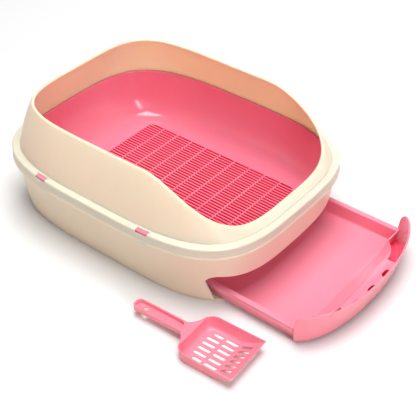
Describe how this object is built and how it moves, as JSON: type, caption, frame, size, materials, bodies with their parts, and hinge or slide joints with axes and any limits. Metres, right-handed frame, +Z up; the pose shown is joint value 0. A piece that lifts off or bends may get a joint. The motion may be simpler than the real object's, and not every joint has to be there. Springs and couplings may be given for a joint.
{
  "type": "drawer litter box",
  "caption": "Cat litter box with a slotted sieve pan over a slide-out tray, a splash ring swept low at the entry, and a loose slotted scoop.",
  "frame": {"origin": "on the floor under the middle of the base tub", "axes": "+X across the box to its right seen from the entry's outside, +Y from the drawer and entry end to the high back end, +Z up; the drawer stands open toward -Y at rest"},
  "size_m": [0.4857, 0.6639, 0.1991],
  "materials": {
    "cream_plastic": "satin cream",
    "deep_pink_plastic": "glossy deep pink",
    "pink_plastic": "satin pink",
    "scoop_plastic": "glossy pink"
  },
  "bodies": {
    "base": {"base_tub": "cream_plastic"},
    "pan": {"sieve_pan": "deep_pink_plastic"},
    "ring": {"splash_ring": "cream_plastic"},
    "drawer": {"drawer_tray": "pink_plastic", "drawer_front": "pink_plastic"},
    "scoop": {"scoop": "scoop_plastic"}
  },
  "joints": [
    {"name": "drawer_slide", "type": "slide", "parent": "base", "child": "drawer", "axis": [0, -1, 0], "range_m": [-0.14, 0.18]},
    {"name": "pan_lift", "type": "slide", "parent": "base", "child": "pan", "axis": [0, 0, 1], "range_m": [0, 0.25]},
    {"name": "ring_lift", "type": "slide", "parent": "pan", "child": "ring", "axis": [0, 0, 1], "range_m": [0, 0.2]},
    {"name": "scoop_lift", "type": "slide", "parent": "base", "child": "scoop", "axis": [0, 0, 1], "range_m": [0, 0.2]}
  ]
}
